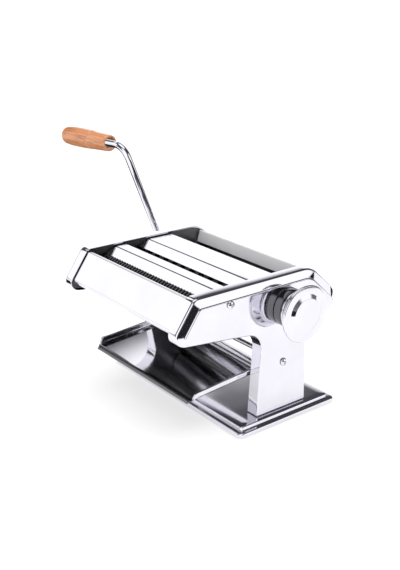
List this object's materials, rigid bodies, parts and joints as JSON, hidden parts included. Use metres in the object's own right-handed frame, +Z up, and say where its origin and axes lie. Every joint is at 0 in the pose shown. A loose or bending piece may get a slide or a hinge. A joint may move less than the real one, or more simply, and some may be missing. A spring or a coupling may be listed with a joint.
{
  "type": "pasta roller machine",
  "caption": "Hand-cranked pasta machine with smooth rollers, paired cutter rollers, a round gap knob, a noodle slide and a crank with a wooden grip, on a stepped steel base.",
  "frame": {"origin": "centre of the bounding box on the table plane, under the rubber feet", "axes": "+X along the rollers towards the gap knob, +Y towards the side where dough goes in, +Z up"},
  "size_m": [0.3324, 0.1744, 0.22],
  "materials": {
    "chrome_sheet": "polished chrome-plated pressed steel",
    "roller_steel": "ground and plated steel",
    "gear_steel": "plain machined steel",
    "bush_brass": "turned bearing metal",
    "grip_wood": "turned and lacquered wood",
    "foot_rubber": "moulded rubber",
    "scraper_plastic": "moulded food-safe plastic"
  },
  "bodies": {
    "frame": {"adjustable_roller_scraper": "scraper_plastic", "base_plate": "chrome_sheet", "bearing_wall_left": "roller_steel", "bearing_wall_right": "roller_steel", "cutter_cover": "chrome_sheet", "drive_roller_bush_left": "bush_brass", "drive_roller_bush_right": "bush_brass", "drive_roller_scraper": "scraper_plastic", "front_cover": "chrome_sheet", "knob_collar": "chrome_sheet", "narrow_stripper_front": "scraper_plastic", "narrow_stripper_rear": "scraper_plastic", "noodle_slide": "chrome_sheet", "rear_cover": "chrome_sheet", "rubber_foot_front_left": "foot_rubber", "rubber_foot_front_right": "foot_rubber", "rubber_foot_rear_left": "foot_rubber", "rubber_foot_rear_right": "foot_rubber", "screw_leg_left": "chrome_sheet", "screw_leg_right": "chrome_sheet", "screw_rear_left": "chrome_sheet", "screw_rear_right": "chrome_sheet", "screw_top_left": "chrome_sheet", "screw_top_right": "chrome_sheet", "side_plate_left": "chrome_sheet", "side_plate_right": "chrome_sheet", "tie_rod_leg": "roller_steel", "tie_rod_rear": "roller_steel", "tie_rod_top": "roller_steel", "top_cover": "chrome_sheet", "wide_stripper_front": "scraper_plastic", "wide_stripper_rear": "scraper_plastic"},
    "drive_roller": {"drive_roller": "chrome_sheet", "drive_roller_gear": "gear_steel", "roller_crank_socket": "roller_steel"},
    "crank": {"crank_rod": "chrome_sheet"},
    "grip": {"crank_grip": "grip_wood"},
    "adjuster": {"adjuster_shaft": "roller_steel"},
    "knob": {"gap_knob": "chrome_sheet"},
    "carrier": {"roller_carrier_left": "bush_brass", "roller_carrier_right": "bush_brass"},
    "adjustable_roller": {"adjustable_roller": "chrome_sheet", "adjustable_roller_gear": "gear_steel"},
    "narrow_front": {"narrow_cutter_front": "roller_steel", "narrow_cutter_gear_front": "gear_steel", "narrow_cutter_crank_socket": "roller_steel"},
    "narrow_rear": {"narrow_cutter_rear": "roller_steel", "narrow_cutter_gear_rear": "gear_steel"},
    "wide_rear": {"wide_cutter_rear": "roller_steel", "wide_cutter_gear_rear": "gear_steel", "wide_cutter_crank_socket": "roller_steel"},
    "wide_front": {"wide_cutter_front": "roller_steel", "wide_cutter_gear_front": "gear_steel"}
  },
  "joints": [
    {"name": "drive_roller_spin", "type": "hinge", "parent": "frame", "child": "drive_roller", "pos_m": [0.05568, 0.04542, 0.0814], "axis": [1, 0, 0], "continuous": true},
    {"name": "crank_pull", "type": "slide", "parent": "drive_roller", "child": "crank", "axis": [-1, 0, 0], "range_m": [0, 0.018]},
    {"name": "grip_spin", "type": "hinge", "parent": "crank", "child": "grip", "pos_m": [-0.05632, -0.00088, 0.2133], "axis": [-0.9988, 0, -0.0499], "continuous": true},
    {"name": "gap_knob_turn", "type": "hinge", "parent": "frame", "child": "adjuster", "pos_m": [0.15568, 0.03092, 0.1044], "axis": [1, 0, 0], "range_deg": [0, 280]},
    {"name": "gap_knob_pull", "type": "slide", "parent": "adjuster", "child": "knob", "axis": [1, 0, 0], "range_m": [0, 0.005], "stiffness_N_per_m": 1000, "springref_m": -0.002},
    {"name": "roller_gap", "type": "slide", "parent": "frame", "child": "carrier", "axis": [0, -0.5333, 0.8459], "range_m": [0, 0.0024]},
    {"name": "adjustable_roller_spin", "type": "hinge", "parent": "carrier", "child": "adjustable_roller", "pos_m": [0.05568, 0.03092, 0.1044], "axis": [1, 0, 0], "continuous": true},
    {"name": "narrow_cutter_front_spin", "type": "hinge", "parent": "frame", "child": "narrow_front", "pos_m": [0.05568, -0.06238, 0.1165], "axis": [1, 0, 0], "continuous": true},
    {"name": "narrow_cutter_rear_spin", "type": "hinge", "parent": "frame", "child": "narrow_rear", "pos_m": [0.05568, -0.04678, 0.1165], "axis": [1, 0, 0], "continuous": true},
    {"name": "wide_cutter_rear_spin", "type": "hinge", "parent": "frame", "child": "wide_rear", "pos_m": [0.05568, -0.00578, 0.1165], "axis": [1, 0, 0], "continuous": true},
    {"name": "wide_cutter_front_spin", "type": "hinge", "parent": "frame", "child": "wide_front", "pos_m": [0.05568, -0.02138, 0.1165], "axis": [1, 0, 0], "continuous": true}
  ],
  "couplings": [
    {"joint": "adjustable_roller_spin", "follows": "drive_roller_spin", "ratio": -1},
    {"joint": "gap_knob_turn", "follows": "roller_gap", "rad_per_m": 2036.2},
    {"joint": "narrow_cutter_rear_spin", "follows": "narrow_cutter_front_spin", "ratio": -1},
    {"joint": "wide_cutter_front_spin", "follows": "wide_cutter_rear_spin", "ratio": -1}
  ]
}
